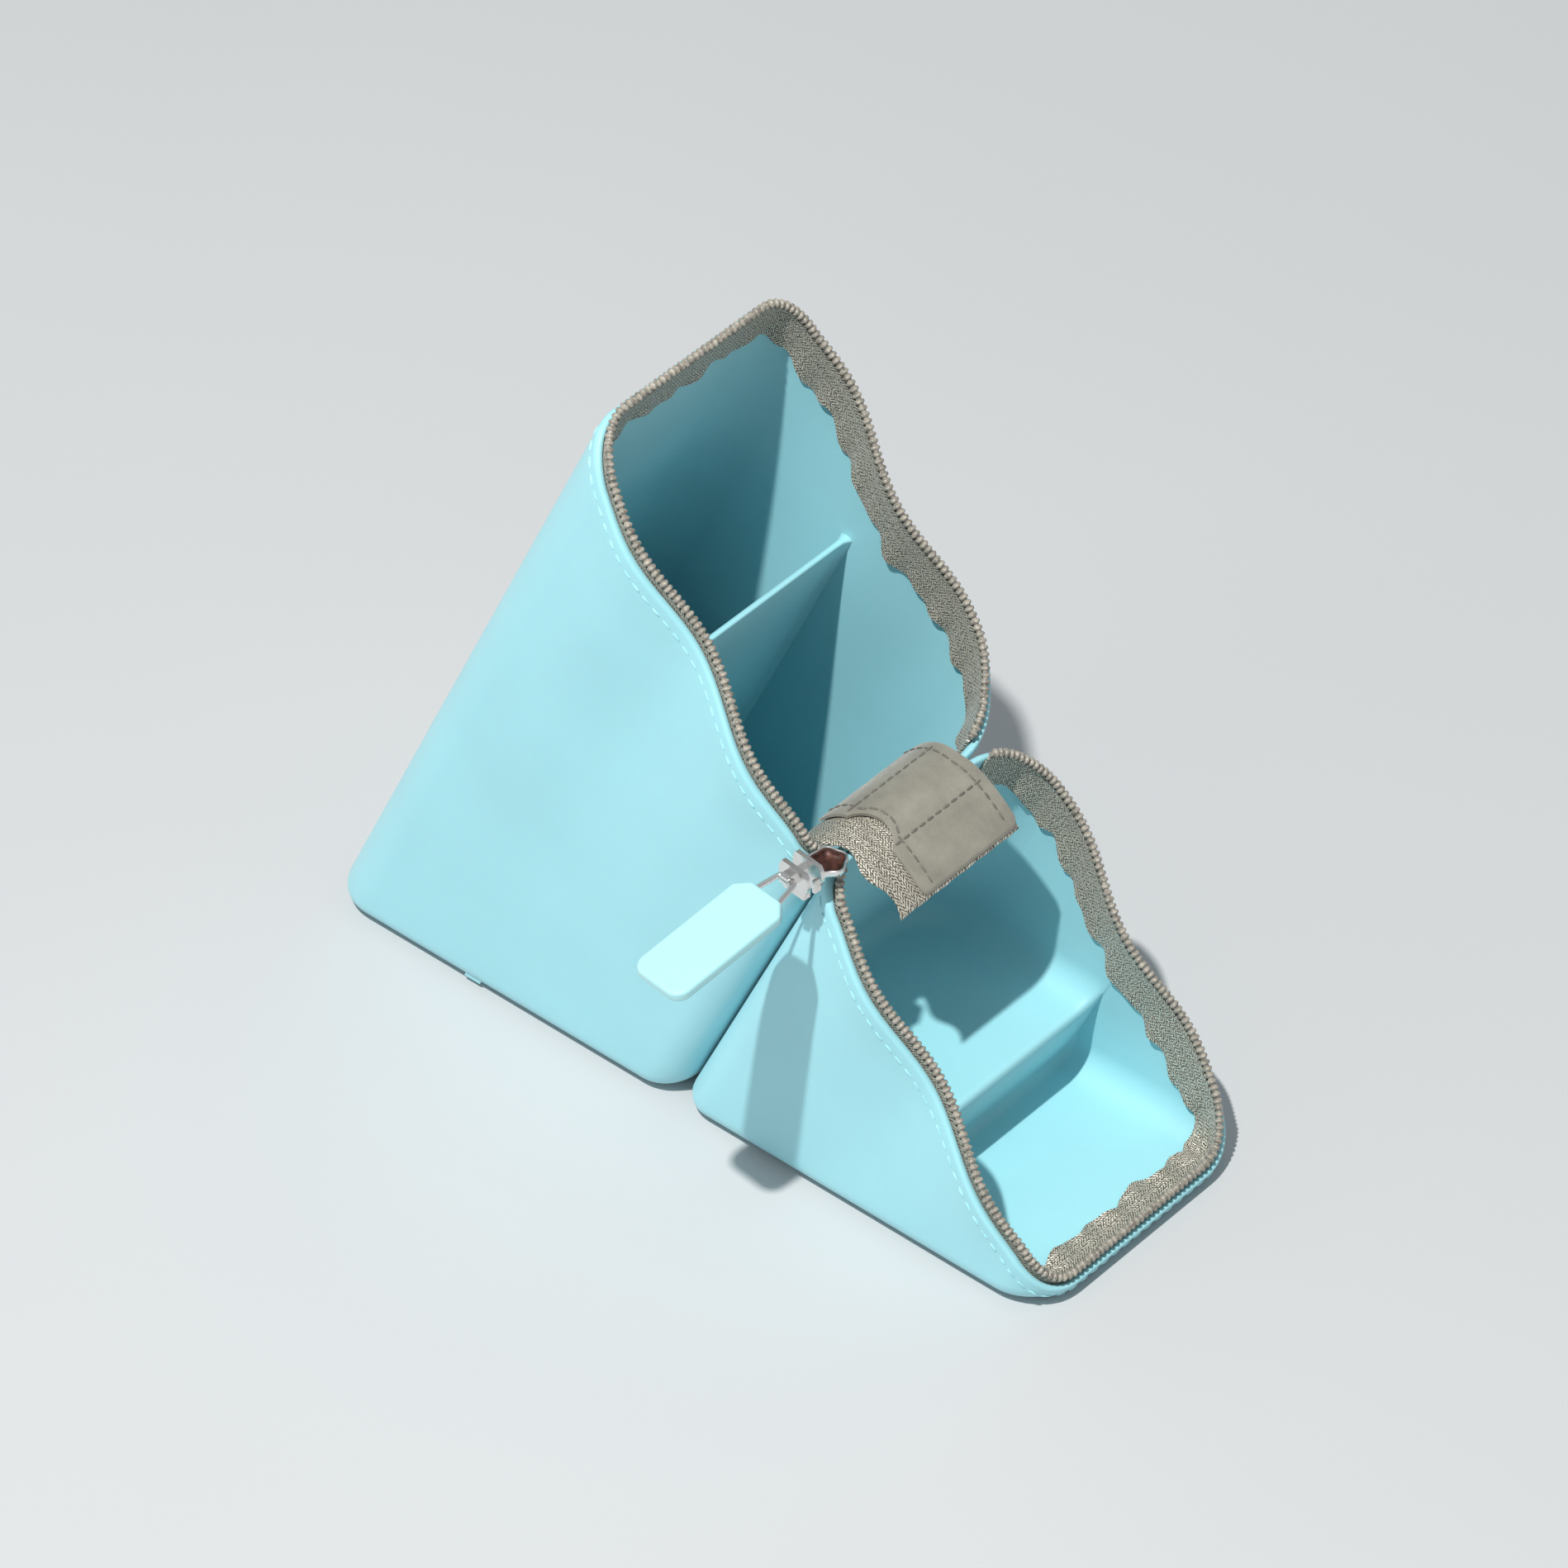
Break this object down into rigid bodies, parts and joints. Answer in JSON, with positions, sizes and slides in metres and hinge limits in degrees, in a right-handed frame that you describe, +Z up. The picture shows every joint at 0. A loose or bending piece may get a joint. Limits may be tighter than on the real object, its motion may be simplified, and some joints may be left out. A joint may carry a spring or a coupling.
{
  "type": "reusable silicone bag",
  "caption": "Zip-up silicone bag that unfolds at mid-height into two open standing cups, with a divider, a raised floor and a slider with a silicone pull.",
  "frame": {"origin": "on the table plane, straight below the middle of the fold line, on the short cup's flat base", "axes": "+Z up, +X from the tall cup to the short cup, Y along the fold line with the slider at -Y"},
  "size_m": [0.2119, 0.1186, 0.1817],
  "materials": {
    "silicone": "satin moulded silicone",
    "tab_silicone": "satin moulded silicone",
    "zip_tape": "woven with metallic flecks",
    "coil_nylon": "semi-gloss nylon",
    "thread": "twisted polyester",
    "suede": "napped",
    "slider_metal": "polished nickel"
  },
  "bodies": {
    "tall": {"tall_cup": "silicone", "tall_tape": "zip_tape", "tall_coil": "coil_nylon", "tall_coil_core": "thread", "tall_rim_thread": "thread", "fold_tape_tall": "zip_tape", "patch_tall": "suede", "patch_thread_tall": "thread", "slider_body": "slider_metal", "slider_lug": "slider_metal"},
    "short": {"short_cup": "silicone", "short_tape": "zip_tape", "short_coil": "coil_nylon", "short_coil_core": "thread", "short_rim_thread": "thread", "fold_tape_short": "zip_tape", "patch_short": "suede", "patch_thread_short": "thread"},
    "pull": {"pull_bail": "slider_metal", "pull_tab": "tab_silicone"}
  },
  "joints": [
    {"name": "fold", "type": "hinge", "parent": "tall", "child": "short", "pos_m": [0, 0, 0.095], "axis": [0, -1, 0], "range_deg": [0, 180]},
    {"name": "pull_swing", "type": "hinge", "parent": "tall", "child": "pull", "pos_m": [-0.00142, -0.04198, 0.0968], "axis": [0.9945, -0.1045, 0], "range_deg": [-70, 75]}
  ]
}
